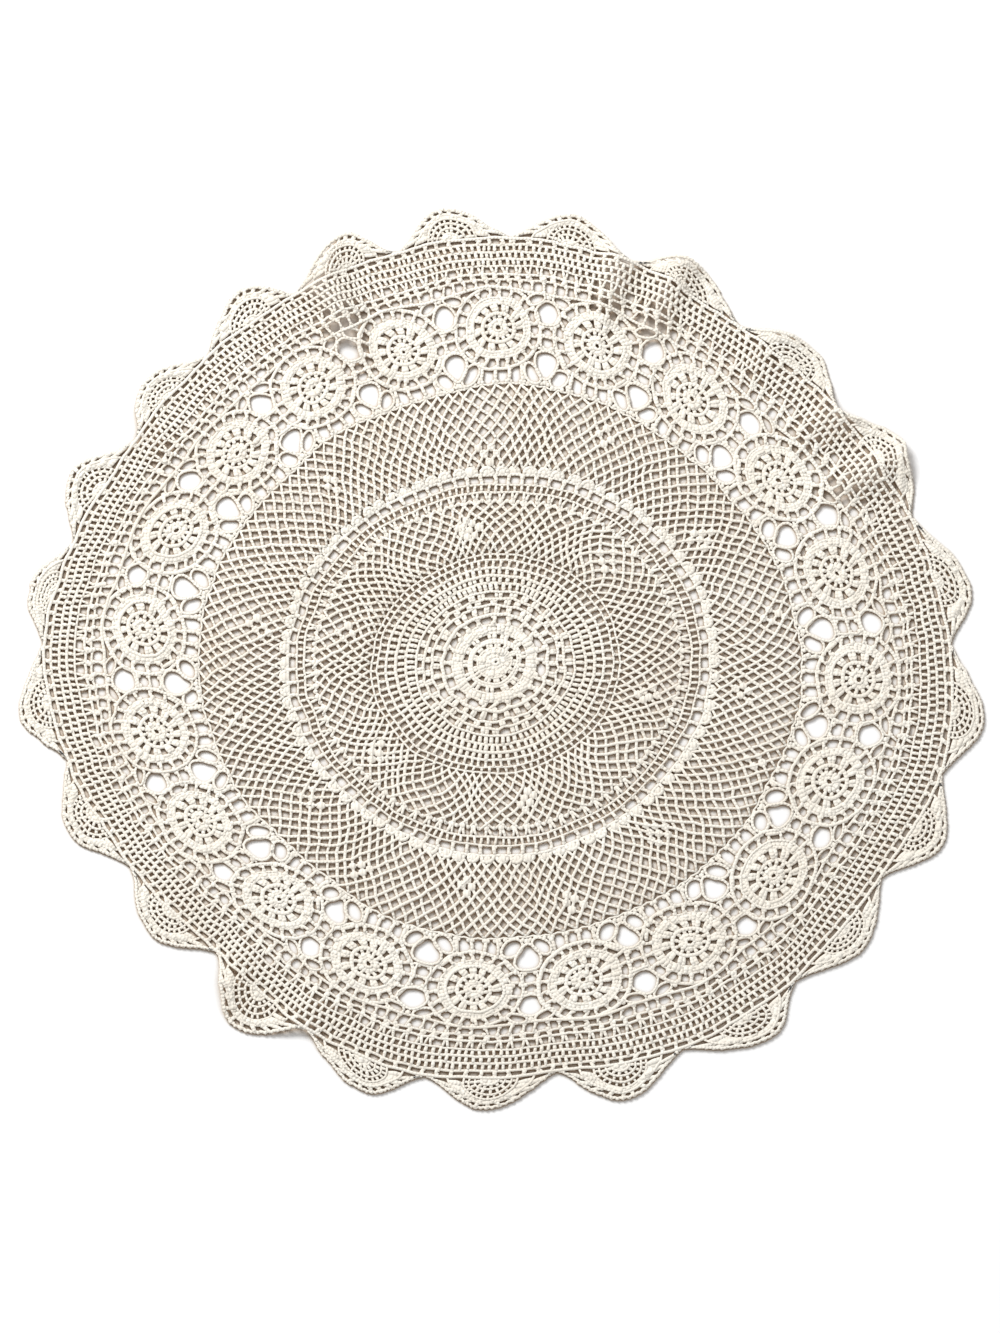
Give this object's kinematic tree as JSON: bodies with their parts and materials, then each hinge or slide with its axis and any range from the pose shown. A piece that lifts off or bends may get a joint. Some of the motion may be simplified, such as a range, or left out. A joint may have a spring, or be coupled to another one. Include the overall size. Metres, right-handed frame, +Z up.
{
  "type": "crocheted round lace doily",
  "caption": "Round openwork cotton table doily with a rosette centre, diamond net, a ring of joined medallions and a scalloped border.",
  "frame": {"origin": "middle of the rosette, on the flat underside", "axes": "+Z up through the cloth, X and Y in the plane of the table"},
  "size_m": [0.6054, 0.6092, 0.0094],
  "materials": {
    "cotton": "matt cream crochet cotton"
  },
  "bodies": {
    "root": {"ground": "cotton", "medallion_01": "cotton", "medallion_02": "cotton", "medallion_03": "cotton", "medallion_04": "cotton", "medallion_05": "cotton", "medallion_06": "cotton", "medallion_07": "cotton", "medallion_08": "cotton", "medallion_09": "cotton", "medallion_10": "cotton", "medallion_11": "cotton", "medallion_12": "cotton", "medallion_13": "cotton", "medallion_14": "cotton", "medallion_15": "cotton", "medallion_16": "cotton", "medallion_17": "cotton", "medallion_18": "cotton", "medallion_19": "cotton", "medallion_20": "cotton", "border": "cotton"}
  },
  "joints": []
}
